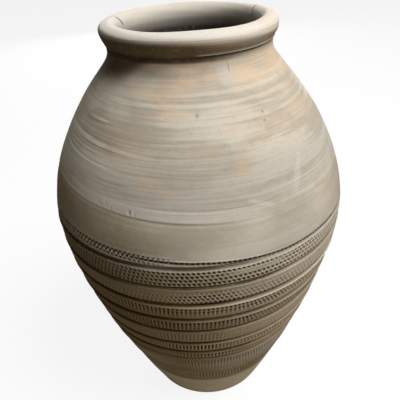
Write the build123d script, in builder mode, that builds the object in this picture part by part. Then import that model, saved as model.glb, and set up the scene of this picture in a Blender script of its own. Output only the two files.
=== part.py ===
from build123d import *
from itertools import accumulate
from math import cos, pi, radians, sin
import os

os.makedirs("parts", exist_ok=True)

# A storage jar raised from courses of clay, each set on the one below and joined with slip.
# Sizes are in millimetres. The jar stands on Z = 0, its axis is Z and its front faces -Y.

# Heights of the pieces, from the ground up
base_thickness = 34.0
foot_height = 92.0
band_01_height = 81.0
band_02_height = 76.0
band_03_height = 40.5
band_04_height = 44.5
band_05_height = 52.0
band_06_height = 47.0
band_07_height = 50.5
band_08_height = 47.5
band_09_height = 49.0
belly_height = 51.5
shoulder_height = 47.0
shoulder_count = 4
collar_height = 53.0
rim_height = 42.0
neck_drop = 14.0

# Radii of the outside: on the ground, then at the tops of some courses, then at the neck
base_radius = 169.5
low_band_radius = 276.5
middle_band_radius = 327.0
top_band_radius = 341.5
belly_top_radius = 316.0
middle_shoulder_radius = 267.5
shoulder_top_radius = 195.5
neck_radius = 174.5
foot_lean = 0.43

# The rim roll: its widest place, its top and the mouth inside it
lip_radius = 185.0
lip_drop = 15.0
crown_radius = 164.0
mouth_radius = 146.0
mouth_drop = 22.0
lap_slope = 0.35
splice_angles = (22.0, 165.0)

# Clay
wall = 25.0
corner_coil_size = 24.0
heel_round = 8.0
groove_round = 4.0

# How far the bands lean, right side up, where they lean most, in degrees
lean_angle = 3.3

# Points that carry the inner face, and the arc of the rim's rounded edges, in degrees
inner_points = 10
quarter_turn = 90.0

# Names of the courses and the height of the joint on top of each
band_heights = [band_01_height, band_02_height, band_03_height, band_04_height, band_05_height]
band_heights += [band_06_height, band_07_height, band_08_height, band_09_height]
band_names = [f"band_course_{number:02d}" for number in range(1, len(band_heights) + 1)]
shoulder_names = [f"shoulder_course_{number:02d}" for number in range(1, shoulder_count + 1)]
course_names = ["base_disc", "foot_course", *band_names, "belly_course_lower", "belly_course_upper"]
course_names += [*shoulder_names, "neck_collar"]
course_heights = [base_thickness, foot_height, *band_heights, belly_height, belly_height]
course_heights += [shoulder_height] * shoulder_count + [collar_height]
joint_height = dict(zip(course_names, accumulate(course_heights)))

collar_top = joint_height["neck_collar"]
neck_height = collar_top - neck_drop
jar_height = collar_top + rim_height
lip_height = jar_height - lip_drop
mouth_height = jar_height - mouth_drop
foot_top = joint_height["foot_course"]
belly_joint = joint_height["belly_course_lower"]
reach = 2 * max(top_band_radius, middle_band_radius, belly_top_radius, lip_radius)
depth = 2 * jar_height

# The outline of the wall, from the ground to the neck, as a curve of radius and height
with BuildLine(mode=Mode.PRIVATE) as wall_outline:
    outline = Spline(
        (base_radius, 0),
        (low_band_radius, joint_height["band_course_02"]),
        (middle_band_radius, joint_height["band_course_06"]),
        (top_band_radius, joint_height["band_course_09"]),
        (belly_top_radius, joint_height["belly_course_upper"]),
        (middle_shoulder_radius, joint_height["shoulder_course_02"]),
        (shoulder_top_radius, joint_height["shoulder_course_04"]),
        (neck_radius, neck_height),
        tangents=[(foot_lean, 1), (0, 1)],
    )


def outline_at(height):
    """Radius of the outline at a height, and how much it widens for each millimetre it rises."""
    crossing = outline.find_intersection_points(Axis((0, height), (1, 0)))[0]
    along = outline.tangent_at(crossing)
    return crossing.X, along.X / along.Y


def inside_of(share):
    """Point on the inner face of the wall, square to the outline at a share of its length."""
    return outline @ share + (outline % share).rotate(Axis.Z, 90) * wall


def clay_below(height, lean, radius, slope):
    """Everything under a joint: the joint is a cone through the radius, and it leans about Y."""
    side = (cos(radians(lean)), 0, sin(radians(lean)))
    plane = Plane(origin=(0, 0, height), x_dir=side, z_dir=(0, -1, 0))
    corners = [(0, -depth), (reach, -depth), (reach, (reach - radius) * slope), (0, -radius * slope)]
    with BuildPart() as below:
        with BuildSketch(plane):
            with BuildLine():
                Polyline(*corners, close=True)
            make_face()
        revolve(axis=Axis(plane.origin, plane.y_dir))
    return below.part


def joint_over(name):
    """The clay below the joint on top of a course, cut square to the wall and leaning with its band."""
    height = joint_height[name]
    if name == "base_disc":
        return clay_below(height, 0, 0, 0)
    if name == "neck_collar":
        return clay_below(height, 0, neck_radius, -lap_slope)
    band_share = (height - foot_top) / (belly_joint - foot_top)
    lean = lean_angle * sin(pi * min(max(band_share, 0), 1))
    radius, widening = outline_at(height)
    return clay_below(height, lean, radius, -widening)


def outer_rims(piece):
    """The outside edges of a course at its lower and upper joints."""
    rings = piece.edges().filter_by(lambda edge: edge.is_closed).sort_by(Axis.Z)
    return [rings[:2].sort_by(SortBy.LENGTH)[-1], rings[-2:].sort_by(SortBy.LENGTH)[-1]]


def finish(piece, name):
    """Name a piece and write it out."""
    piece.label = name
    export_step(piece, f"parts/{name}.step")


# The jar's whole outside, up to the crown of the rim, as a solid of revolution
with BuildPart() as outside:
    with BuildSketch(Plane.XZ) as outside_section:
        with BuildLine():
            add(outline)
            flare = (lip_height - neck_height) / 2
            Bezier(
                (neck_radius, neck_height),
                (neck_radius, neck_height + flare),
                (lip_radius, lip_height - flare),
                (lip_radius, lip_height),
            )
            EllipticalCenterArc(
                (crown_radius, lip_height),
                lip_radius - crown_radius,
                lip_drop,
                start_angle=0,
                arc_size=quarter_turn,
            )
            Polyline((crown_radius, jar_height), (0, jar_height), (0, 0), (base_radius, 0))
        make_face()
        heel = outside_section.vertices().sort_by(Axis.Y).filter_by(lambda corner: corner.X > 0)[0]
        fillet(heel, heel_round)
    revolve(axis=Axis.Z)

# The hollow, from below the floor to the mouth
with BuildPart() as hollow:
    with BuildSketch(Plane.XZ) as hollow_section:
        with BuildLine():
            inner = Spline(*[inside_of(point / (inner_points - 1)) for point in range(inner_points)])
            throat = (mouth_height - neck_height) / 2
            Bezier(
                inner @ 1,
                inner @ 1 + (0, throat),
                (mouth_radius, mouth_height - throat),
                (mouth_radius, mouth_height),
            )
            EllipticalCenterArc(
                (crown_radius, mouth_height),
                crown_radius - mouth_radius,
                mouth_drop,
                start_angle=quarter_turn,
                arc_size=quarter_turn,
            )
            floor_edge = inner @ 0
            Polyline(
                (crown_radius, jar_height),
                (crown_radius, jar_height + rim_height),
                (0, jar_height + rim_height),
                (0, -base_thickness),
                (floor_edge.X, -base_thickness),
                floor_edge,
            )
        make_face()
    revolve(axis=Axis.Z)

# The whole wall, from which the courses are cut
with BuildPart() as whole_wall:
    add(outside.part)
    add(hollow.part, mode=Mode.SUBTRACT)

joints = {name: joint_over(name) for name in course_names}

# The slab that the jar stands on
with BuildPart() as base_disc:
    add(outside.part)
    add(joints["base_disc"], mode=Mode.INTERSECT)
finish(base_disc.part, "base_disc")

# The coil pressed into the corner between the slab and the wall
with BuildPart() as corner_coil:
    corner_radius = outline_at(base_thickness)[0]
    with BuildSketch(Plane.XZ):
        with BuildLine():
            Polyline(
                (corner_radius - wall - corner_coil_size, base_thickness),
                (corner_radius, base_thickness),
                (corner_radius, base_thickness + corner_coil_size + wall),
                close=True,
            )
        make_face()
    revolve(axis=Axis.Z)
    add(hollow.part, mode=Mode.INTERSECT)
finish(corner_coil.part, "corner_coil")

# The courses of the wall, each between the joint below it and the joint above it
for below, name in zip(course_names, course_names[1:]):
    with BuildPart() as course:
        add(whole_wall.part)
        add(joints[below], mode=Mode.SUBTRACT)
        add(joints[name], mode=Mode.INTERSECT)
        if name in band_names:
            fillet(outer_rims(course), groove_round)
    finish(course.part, name)

# The rim roll, in two lengths that meet at the splices
with BuildPart() as rim_roll:
    add(whole_wall.part)
    add(joints["neck_collar"], mode=Mode.SUBTRACT)

splice_start, splice_end = splice_angles
with BuildPart() as back_sector:
    with BuildSketch(Plane.XY):
        with BuildLine():
            back_arc = CenterArc((0, 0), reach, splice_start, splice_end - splice_start)
            Polyline(back_arc @ 1, (0, 0), back_arc @ 0)
        make_face()
    extrude(amount=jar_height)

with BuildPart() as rim_roll_back:
    add(rim_roll.part)
    add(back_sector.part, mode=Mode.INTERSECT)
finish(rim_roll_back.part, "rim_roll_back")

with BuildPart() as rim_roll_front:
    add(rim_roll.part)
    add(back_sector.part, mode=Mode.SUBTRACT)
finish(rim_roll_front.part, "rim_roll_front")
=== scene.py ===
from functools import partial
from typing import NamedTuple

import bpy
import numpy as np
from bpy.props import FloatProperty, FloatVectorProperty, IntProperty, PointerProperty
from bpy.types import Operator, Panel, PropertyGroup
from mathutils import Matrix, Quaternion, Vector


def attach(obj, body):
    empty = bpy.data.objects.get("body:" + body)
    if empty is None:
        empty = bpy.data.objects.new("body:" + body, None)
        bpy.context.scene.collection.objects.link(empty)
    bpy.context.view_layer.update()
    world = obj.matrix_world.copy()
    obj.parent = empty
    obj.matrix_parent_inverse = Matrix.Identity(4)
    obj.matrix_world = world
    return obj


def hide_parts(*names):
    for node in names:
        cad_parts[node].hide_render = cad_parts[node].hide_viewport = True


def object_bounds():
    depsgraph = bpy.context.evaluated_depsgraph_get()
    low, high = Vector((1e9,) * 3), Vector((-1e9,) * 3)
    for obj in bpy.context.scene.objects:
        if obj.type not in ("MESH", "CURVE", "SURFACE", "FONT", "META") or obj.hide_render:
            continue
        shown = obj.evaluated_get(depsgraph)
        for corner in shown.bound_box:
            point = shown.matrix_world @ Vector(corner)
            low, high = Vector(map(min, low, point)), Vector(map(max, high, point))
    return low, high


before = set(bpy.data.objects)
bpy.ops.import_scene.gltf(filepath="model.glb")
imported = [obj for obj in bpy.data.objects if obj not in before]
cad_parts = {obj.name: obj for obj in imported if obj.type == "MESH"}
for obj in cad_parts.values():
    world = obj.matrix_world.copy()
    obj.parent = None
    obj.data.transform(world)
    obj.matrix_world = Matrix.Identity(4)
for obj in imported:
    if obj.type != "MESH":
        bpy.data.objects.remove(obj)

bl_info = {
    "name": "Stamped storage jar",
    "version": (1, 0, 0),
    "blender": (4, 5, 0),
    "location": "View3D > Sidebar > Jar",
    "description": "Dresses the courses of a coil-built jar with grooves, stamps and a fired clay finish",
    "category": "Object",
}

CAD_LOW, CAD_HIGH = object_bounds()
BODY = "root"
CLAY = "jar_clay"
TURN = 2 * np.pi

# Names of the stamped bands, from the ground up
BANDS = [f"band_course_{number:02d}" for number in range(1, 10)]
TOP_BAND = BANDS[-1]

# Degrees from the front over which marks and tones turn back behind the jar to what they are in front
BACK_SPAN = 85, 150
# Degrees right of the front over which the seam sags
SAG_SPAN = -78, 24

# Points round a plain course, round a course with nicks and round the rim, and for each stamp or dash
COLUMNS, FINE_COLUMNS, RIM_COLUMNS, STAMP_COLUMNS = 640, 960, 720, 8


# Sizes, marks, colours and stage settings


def length(name, description, default):
    """A size in metres."""
    return FloatProperty(name=name, description=description, default=default, unit="LENGTH", precision=4)


def angle(name, description, degrees):
    """An angle, given in degrees."""
    return FloatProperty(name=name, description=description, default=np.radians(degrees), subtype="ANGLE")


def colour(name, description, default):
    """A linear colour."""
    return vector(name, description, default, subtype="COLOR", min=0, max=1)


def amount(name, description, default):
    """A plain number."""
    return FloatProperty(name=name, description=description, default=default)


def vector(name, description, default, **kind):
    """Several numbers: a place, a direction, a colour or a row of sizes."""
    return FloatVectorProperty(name=name, description=description, default=default, **kind)


class JarSizes(PropertyGroup):
    """Heights of the courses from the ground up, and the radii that the outline passes through."""

    base_thickness: length("Base", "Thickness of the slab that the jar stands on", 0.034)
    foot_height: length("Foot", "Height of the plain course above the slab", 0.092)
    band_heights: vector(
        "Bands",
        "Heights of the stamped bands, from the ground up",
        (0.081, 0.076, 0.0405, 0.0445, 0.052, 0.047, 0.0505, 0.0475, 0.049),
        size=len(BANDS),
        unit="LENGTH",
    )
    belly_height: length("Belly", "Height of each of the two belly courses", 0.0515)
    shoulder_height: length("Shoulder", "Height of each shoulder course", 0.047)
    shoulder_count: IntProperty(name="Shoulder courses", description="How many shoulder courses", default=4)
    collar_height: length("Collar", "Height of the neck course", 0.053)
    neck_drop: length("Neck drop", "From the top of the collar down to the narrowest place", 0.014)
    base_radius: length("Base radius", "Radius on the ground, before the heel is rounded", 0.1695)
    low_band_radius: length("Low band radius", "Radius at the top of band 2", 0.2765)
    middle_band_radius: length("Middle band radius", "Radius at the top of band 6", 0.327)
    top_band_radius: length("Top band radius", "Radius at the top of band 9", 0.3415)
    belly_radius: length("Belly radius", "Radius at the top of the belly", 0.316)
    middle_shoulder_radius: length("Middle shoulder radius", "Radius half way up the shoulder", 0.2675)
    shoulder_radius: length("Shoulder radius", "Radius at the top of the shoulder", 0.1955)
    neck_radius: length("Neck radius", "Radius at the narrowest place", 0.1745)
    foot_lean: amount("Foot lean", "Widening for each metre of rise at the ground", 0.43)
    lip_radius: length("Lip radius", "Greatest radius of the rim", 0.185)
    lip_drop: length("Lip drop", "From the top of the rim down to its widest place", 0.015)
    crown_radius: length("Crown radius", "Radius of the rim's highest line", 0.164)
    mouth_radius: length("Mouth radius", "Radius of the mouth", 0.146)
    mouth_drop: length("Mouth drop", "From the top of the rim down to the mouth", 0.022)
    lap_slope: amount("Lap slope", "How steeply the rim laps down over the collar", 0.35)
    splice_start: angle("First splice", "Where the back length of the rim starts", 22)
    splice_end: angle("Second splice", "Where the back length of the rim ends", 165)
    wall: length("Wall", "Thickness of the wall, square to its face", 0.025)
    corner_coil: length("Corner coil", "How far the coil in the corner reaches along the floor", 0.024)
    heel_round: length("Heel round", "Radius of the rounded heel", 0.008)
    band_lean: angle("Band lean", "Lean of the bands where they lean most", 3.3)


class JarMarks(PropertyGroup):
    """Marks of the maker's hands and tools."""

    skin: length("Skin", "How far the face lies inside the outline, to leave room for ridges", 0.0010)
    foot_step: length("Foot step", "How far the foot stands proud of the band above it", 0.0016)
    groove_above: length("Groove above", "Reach of a finger groove above its deepest line", 0.007)
    crest: length("Crest", "Height of the ridge that a groove pushes up below itself", 0.0014)
    stamp_share: amount("Stamp depth", "Share of the stamps' full depth", 1.0)
    dash: length("Dash", "Depth of the dashes under the belly", 0.0036)
    dot: length("Dot", "Depth of the dots beside the dashes", 0.0028)
    lines: length("Turning lines", "Height of the fine turning lines", 0.00009)
    swell: length("Swell", "Height of the slow unevenness of the wall", 0.0011)
    inner_swell: length("Inner swell", "Height of the finger ridges inside", 0.0012)
    seam: length("Seam", "Step at the seam over the belly", 0.0011)
    seam_sag: length("Seam sag", "How far the seam sinks from the left to the right", 0.018)
    nick: length("Nick", "Depth of the nicks over the seam, and of the cracks in the rim", 0.0016)
    lap: length("Rim lap", "Height of the lapped edge under the rim", 0.0006)
    thumb: length("Thumb", "How far the thumb has hollowed the coil in the corner", 0.0016)


class JarColours(PropertyGroup):
    """Colours of the fired clay, and of the light and shade painted on it."""

    slip: colour("Slip", "Pale wiped slip", (0.63, 0.575, 0.475))
    clay: colour("Clay", "Plain grey-beige clay", (0.46, 0.40, 0.315))
    # Cream is also the painted highlight on the lit ridges and on the step over the seam
    cream: colour("Cream", "Clean clay on top of the rim", (0.74, 0.685, 0.605))
    blush: colour("Blush", "Warm patches of the firing", (0.66, 0.49, 0.335))
    # Painted shade: a dark brown that stands for the shadow of the rim on the neck
    rim_shade: colour("Smoke", "Brown clay under the rim", (0.135, 0.09, 0.046))
    earth: colour("Earth", "Brown clay of the bands", (0.240, 0.168, 0.075))
    # Painted shade: the darkest brown, laid on the left of the bands, away from the lamp
    left_shade: colour("Peat", "Darkest clay at the left of the bands", (0.115, 0.068, 0.016))
    tan: colour("Tan", "Warm clay at the front of the middle bands", (0.29, 0.183, 0.055))
    dust: colour("Dust", "Greyer brown of the upper bands", (0.45, 0.385, 0.295))
    umber: colour("Umber", "Warmer brown of the lower bands", (0.41, 0.315, 0.190))
    # Ridges away from the lamp; on the lit side they take cream as painted highlight
    straw: colour("Straw", "Worn ridges of the bands", (0.50, 0.41, 0.27))
    # Dirt and painted shade in the hollows: the dark brown of pits, grooves and cracks
    soil_and_shade: colour("Soil", "Dark soil in the hollows", (0.036, 0.021, 0.007))
    grey: colour("Grey", "Dull clay round the belly", (0.39, 0.36, 0.315))
    # Painted light: a pale yellow-brown that lifts the foot against the shade of the floor
    foot: colour("Foot", "Yellow-brown clay of the foot", (0.80, 0.72, 0.53))
    # Painted light: the clay inside the mouth is made pale, as the lamp falls on the inner wall
    inside: colour("Inside", "Clay inside the mouth", (0.67, 0.615, 0.53))
    # Painted shade: near black deep inside the jar
    deep: colour("Deep", "Clay deep inside the jar", (0.014, 0.010, 0.007))


class JarStage(PropertyGroup):
    """Camera, lamps, sky and floor."""

    camera_place: vector("Camera", "Place of the camera", (0.0, -0.97332, 1.16041), unit="LENGTH")
    camera_pitch: angle("Pitch", "Tilt below level", 31.9699)
    camera_yaw: angle("Yaw", "Turn to the right", 0.1243)
    camera_roll: angle("Roll", "Roll, clockwise", 3.385)
    lens: amount("Lens", "Focal length in millimetres", 40.295)
    lamp_way: vector("Lamp", "Direction from the jar to the main lamp", (0.437, -0.242, 0.866))
    lamp_power: amount("Lamp power", "Power of the main lamp in watts", 285.0)
    fill_way: vector("Fill", "Direction from the jar to the weak lamp in front", (0.50, -0.86, 0.06))
    fill_power: amount("Fill power", "Power of the weak lamp in watts", 42.0)
    back_way: vector("Back", "Direction from the jar to the lamp behind it", (-0.12, 0.95, 0.28))
    back_power: amount("Back power", "Power of the lamp behind in watts", 70.0)
    lamp_distance: length("Lamp distance", "From the middle of the jar to each lamp", 5.0)
    lamp_size: length("Lamp size", "Width of each lamp", 3.2)
    sky: amount("Sky", "Strength of the even light all round", 0.05)
    floor_size: length("Floor", "Side of the floor", 40.0)
    floor_tone: colour("Floor tone", "Colour of the floor in the picture", (0.14, 0.14, 0.14))
    floor_bounce: colour("Floor bounce", "Colour of the floor to the jar", (0.24, 0.195, 0.135))
    floor_glow: colour("Floor glow", "Light that lifts the floor to white", (0.875, 0.875, 0.875))


# Outline and joints of the jar


def cubic_through(points, first, last, steps=400):
    """Cubic curve through points, parted by their straight distances, with set directions at both ends.

    The slope at each inner point makes the bend continuous; between points the curve is the cubic
    with those two ends and slopes. Returns many places on the curve.
    """
    gaps = np.hypot(*np.diff(points, axis=0).T)
    matrix = np.eye(len(points))
    inner = np.arange(1, len(points) - 1)
    matrix[inner, inner - 1] = gaps[1:]
    matrix[inner, inner] = 2 * (gaps[:-1] + gaps[1:])
    matrix[inner, inner + 1] = gaps[:-1]
    rises = np.diff(points, axis=0) / gaps[:, None]
    bends = 3 * (gaps[1:, None] * rises[:-1] + gaps[:-1, None] * rises[1:])
    slopes = np.linalg.solve(matrix, np.concatenate([[first], bends, [last]]))
    share = np.linspace(0, 1, steps, endpoint=False)[None, :, None]
    low, high = points[:-1, None], points[1:, None]
    leave, arrive = (slopes[:-1] * gaps[:, None])[:, None], (slopes[1:] * gaps[:, None])[:, None]
    curve = (
        low * (1 + 2 * share) * (1 - share) ** 2
        + leave * share * (1 - share) ** 2
        + high * share**2 * (3 - 2 * share)
        + arrive * share**2 * (share - 1)
    )
    return np.concatenate([curve.reshape(-1, 2), points[-1:]])


def easy_bend(low, high, steps=200):
    """Cubic from one point up to another that starts and ends upright."""
    share = np.linspace(0, 1, steps)[:, None]
    half = np.array([0, (high[1] - low[1]) / 2])
    low, high = np.array(low), np.array(high)
    return (
        low * (1 - share) ** 3
        + 3 * (low + half) * share * (1 - share) ** 2
        + 3 * (high - half) * share**2 * (1 - share)
        + high * share**3
    )


class Jar:
    """The outline of the wall against height, and the joint lines of the courses round the jar."""

    def __init__(self, sizes, marks):
        self.sizes = sizes
        self.marks = marks
        self.shoulders = [f"shoulder_course_{number:02d}" for number in range(1, sizes.shoulder_count + 1)]
        self.names = ["base_disc", "foot_course", *BANDS, "belly_course_lower", "belly_course_upper"]
        self.names += [*self.shoulders, "neck_collar"]
        heights = [sizes.base_thickness, sizes.foot_height, *sizes.band_heights]
        heights += [sizes.belly_height] * 2 + [sizes.shoulder_height] * sizes.shoulder_count
        self.tops = dict(zip(self.names, np.cumsum([*heights, sizes.collar_height])))
        self.crown = CAD_HIGH.z
        self.lip = self.crown - sizes.lip_drop
        self.neck = self.tops["neck_collar"] - sizes.neck_drop
        points = np.array([
            (sizes.base_radius, 0),
            (sizes.low_band_radius, self.tops["band_course_02"]),
            (sizes.middle_band_radius, self.tops["band_course_06"]),
            (sizes.top_band_radius, self.tops["band_course_09"]),
            (sizes.belly_radius, self.tops["belly_course_upper"]),
            (sizes.middle_shoulder_radius, self.tops["shoulder_course_02"]),
            (sizes.shoulder_radius, self.tops["shoulder_course_04"]),
            (sizes.neck_radius, self.neck),
        ])
        foot = np.array([sizes.foot_lean, 1]) / np.hypot(sizes.foot_lean, 1)
        wall = cubic_through(points, foot, (0, 1))
        flare = easy_bend((sizes.neck_radius, self.neck), (sizes.lip_radius, self.lip))
        self.radii, self.heights = np.concatenate([wall, flare[1:]]).T
        self.widenings = np.gradient(self.radii, self.heights)

    def below(self, name):
        """Name of the course under another."""
        return self.names[self.names.index(name) - 1]

    def radius(self, height):
        """Radius of the outline at a height."""
        return np.interp(height, self.heights, self.radii)

    def widening(self, height):
        """How much the outline widens for each metre that it rises."""
        return np.interp(height, self.heights, self.widenings)

    def into_wall(self, height, depth):
        """Radius and height of the place that lies a depth inside the outline, square to it."""
        slope = self.widening(height)
        long = np.sqrt(1 + slope**2)
        return self.radius(height) - depth / long, height + depth * slope / long

    def joint(self, name, around):
        """Height of the joint on top of a course: level, or leaning with the right side up."""
        height = self.tops[name]
        low, high = self.tops["foot_course"], self.tops["belly_course_lower"]
        lean = self.sizes.band_lean * np.sin(np.pi * np.clip((height - low) / (high - low), 0, 1))
        squareness = 1 + self.widening(height) ** 2
        return height + np.tan(lean) * self.radius(height) * np.cos(around) / squareness

    def sunk_joint(self, name, around):
        """Height of the joint on top of a course, or of its groove where that sinks at the right."""
        sink = GROOVES[name].sink if name in GROOVES else 0.0
        return self.joint(name, around) - sink * step_up(side_of_front(around), -20, 55)


# Marks on the face of the clay


class Stamps(NamedTuple):
    """Rows of pressed stamps in a band.

    How many stamps go round, the rows and fainter rows as shares of the band's height, half width as a share
    of the pitch, half height as a share of the band, depth, lean of the columns left and right of the front,
    where the stamps are strongest and how far that reaches in degrees, least strength, how clean the band is
    (below nothing: soiled), and the row that breaks off right of the front.
    """

    count: int
    rows: tuple
    faint_rows: tuple
    wide: float
    tall: float
    depth: float
    lean_left: float
    lean_right: float
    strongest: float
    spread: float
    least: float
    clean: float
    broken: float = -1.0


STAMPS = dict(zip(BANDS, (
    Stamps(178, (0.28, 0.42, 0.56), (0.14, 0.70), 0.28, 0.058, 0.0018, 0.0, 3.1, 4, 22, 0.3, 0.0),
    Stamps(209, (0.54, 0.70), (0.22, 0.38), 0.26, 0.070, 0.0018, 0.0, 2.2, 5, 30, 0.4, 0.1),
    Stamps(214, (0.54,), (0.34,), 0.26, 0.14, 0.0026, -0.2, 1.0, -2, 14, 0.35, 0.02),
    Stamps(223, (0.35, 0.57), (), 0.27, 0.125, 0.0034, -0.3, 2.0, -7, 11, 0.4, 0.08),
    Stamps(228, (0.30, 0.52), (0.72,), 0.26, 0.13, 0.0012, -0.5, 2.0, -8, 16, 0.25, 0.19),
    Stamps(230, (0.62,), (0.44, 0.26), 0.27, 0.095, 0.0032, -0.4, 3.0, -2, 26, 0.45, -0.22),
    Stamps(228, (0.69, 0.50), (0.36,), 0.30, 0.062, 0.0034, -0.4, 3.2, 2, 40, 0.45, 0.0),
    Stamps(226, (0.16, 0.35, 0.53), (0.72,), 0.30, 0.066, 0.0026, 3.4, 3.4, 0, 10, 0.50, 0.26),
    Stamps(222, (0.23, 0.42, 0.605, 0.79), (), 0.34, 0.060, 0.0040, 3.5, 3.5, -14, 33, 0.62, 0.0, 0.605),
)))
# Lean of a single stamp as a share of its column's, strength of a faint row, and depth at which the dirt and
# painted shade in a stamp are full
STAMP_SLANT, FAINT, SOILED_STAMP = 0.6, 0.5, 0.0030


class Groove(NamedTuple):
    """A finger groove at the joint on top of a band.

    Its depth, the wear and painted highlight of the ridge below it, the dirt and painted shade in it, how far
    it lies above the joint, how far it sinks at the right of the jar, and how far below it the ridge lies.
    """

    depth: float
    worn_and_lit: float
    soiled: float
    shift: float
    sink: float
    below: float


GROOVES = dict(zip(BANDS, (
    Groove(0.0010, 0.0, 0.6, 0.0000, 0.0000, 0.0080),
    Groove(0.0032, 0.1, 0.85, 0.0020, 0.0080, 0.0080),
    Groove(0.0044, 0.2, 0.95, -0.0012, 0.0050, 0.0080),
    Groove(0.0050, 0.65, 0.95, -0.0025, 0.0010, 0.0080),
    Groove(0.0052, 0.15, 0.95, 0.0000, 0.0075, 0.0080),
    Groove(0.0052, 0.8, 1.0, 0.0000, 0.0095, 0.0090),
    Groove(0.0055, 1.4, 1.0, 0.0015, 0.0090, 0.0094),
    Groove(0.0050, 0.35, 0.9, 0.0018, 0.0030, 0.0064),
    Groove(0.0054, 1.0, 0.8, 0.0006, 0.0022, 0.0076),
)))
# Depth of a groove at which its dirt and painted shade are full, and half width of the crest below it
SOILED_GROOVE, CREST_WIDTH = 0.0045, 0.0016

# How many dashes go round under the belly, the height of their line, its lean and its sag at the right
DASHES, DASH_HEIGHT, DASH_LEAN, DASH_SAG = 214, 0.6245, 0.0099, 0.0030
# Half height of the dashes, and of the dots beside them
DASH_TALL, DOT_TALL = 0.0028, 0.0025

# Nicks over the seam: degrees right of the front, height over the seam, share of the full depth
NICKS = (
    (-37.4, 0.0090, 0.45),
    (-36.1, 0.0055, 0.60),
    (-33.5, 0.0075, 0.35),
    (-31.6, 0.0045, 0.40),
    (-24.2, 0.0070, 1.15),
    (-22.2, 0.0040, 0.35),
)
# Half width of a nick in degrees, and its half height
NICK_WIDE, NICK_TALL = 0.55, 0.0065

# Lengths of the turning lines up the wall, and the length at which they have their full height
LINE_LENGTHS, FULL_LINE = (0.0045, 0.0061, 0.0083, 0.0118, 0.017), 0.0083


def hump(place, reach):
    """One at zero, falling to nothing at the reach on a half wave."""
    return 0.5 + 0.5 * np.cos(np.pi * np.minimum(np.abs(place) / reach, 1))


def bell(place, reach):
    """One at zero, falling away on a bell curve: the exponential of minus the square of place over reach."""
    return np.exp(-((place / reach) ** 2))


def step_up(value, low, high):
    """Nothing below low, one above high and a smooth rise between."""
    share = np.clip((value - low) / (high - low), 0, 1)
    return share**2 * (3 - 2 * share)


def right_of_front(around):
    """Degrees to the right of the front, from -180 to 180."""
    return np.degrees((around + np.pi / 2 + np.pi) % TURN - np.pi)


def side_of_front(around):
    """Degrees to the right of the front, falling back to nothing behind the jar."""
    right = right_of_front(around)
    return right * (1 - step_up(np.abs(right), *BACK_SPAN))


def sway(around, height, seed, rounds, rise, terms=14):
    """Slow unevenness: a sum of waves with whole counts round the jar and chosen lengths up it."""
    draw = np.random.default_rng(seed)
    total = np.zeros(np.broadcast(around, height).shape)
    for _ in range(terms):
        turns = draw.integers(0, rounds + 1)
        climb = draw.normal() * TURN / rise
        total = total + np.cos(turns * around + climb * height + draw.uniform(0, TURN))
    return total / np.sqrt(terms)


def across_pitch(place):
    """Place across the nearest stamp, from minus to plus half of the pitch."""
    return place - np.floor(place) - 0.5


def pits(across, up, wide, tall):
    """Flat-bottomed pits: one inside, falling steeply to nothing at a share of the pitch and of the row."""
    return np.exp(-((np.abs(across) / wide) ** 4) - (np.abs(up) / tall) ** 4)


def stamp_pattern(stamps, around, share):
    """Strength of the stamps, and of the ribs between them, at angles round a band and shares of its height.

    The stamps stand at equal angles in each row. Their columns lean, more to the right of the jar, so the
    place across a stamp is the fraction of count times turn plus lean times the row's height, and each stamp
    itself leans a little less.
    """
    side = side_of_front(around)
    lean = stamps.lean_left + (stamps.lean_right - stamps.lean_left) * step_up(side, 8, 24)
    broken = 1 - 0.85 * step_up(side, 4, 12) * (1 - step_up(side, 22, 30))
    pattern, rib = np.zeros(share.shape), np.zeros(share.shape)
    for rows, press in ((stamps.rows, 1), (stamps.faint_rows, FAINT)):
        for row in rows:
            off = share - row
            across = across_pitch(stamps.count * around / TURN + lean * (row - 0.5 + STAMP_SLANT * off))
            firm = press * broken if row == stamps.broken else press
            pattern = np.maximum(pattern, firm * pits(across, off, stamps.wide, stamps.tall))
            rib = np.maximum(rib, firm * pits(0.5 - np.abs(across), off, 0.5 - stamps.wide, stamps.tall))
    strength = np.exp(-(((side - stamps.strongest) / stamps.spread) ** 4))
    patchy = 0.85 + 0.15 * sway(around, share, stamps.count, 30, 1.0)
    strength = (stamps.least + (1 - stamps.least) * strength) * patchy
    return pattern * strength, rib * strength


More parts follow.
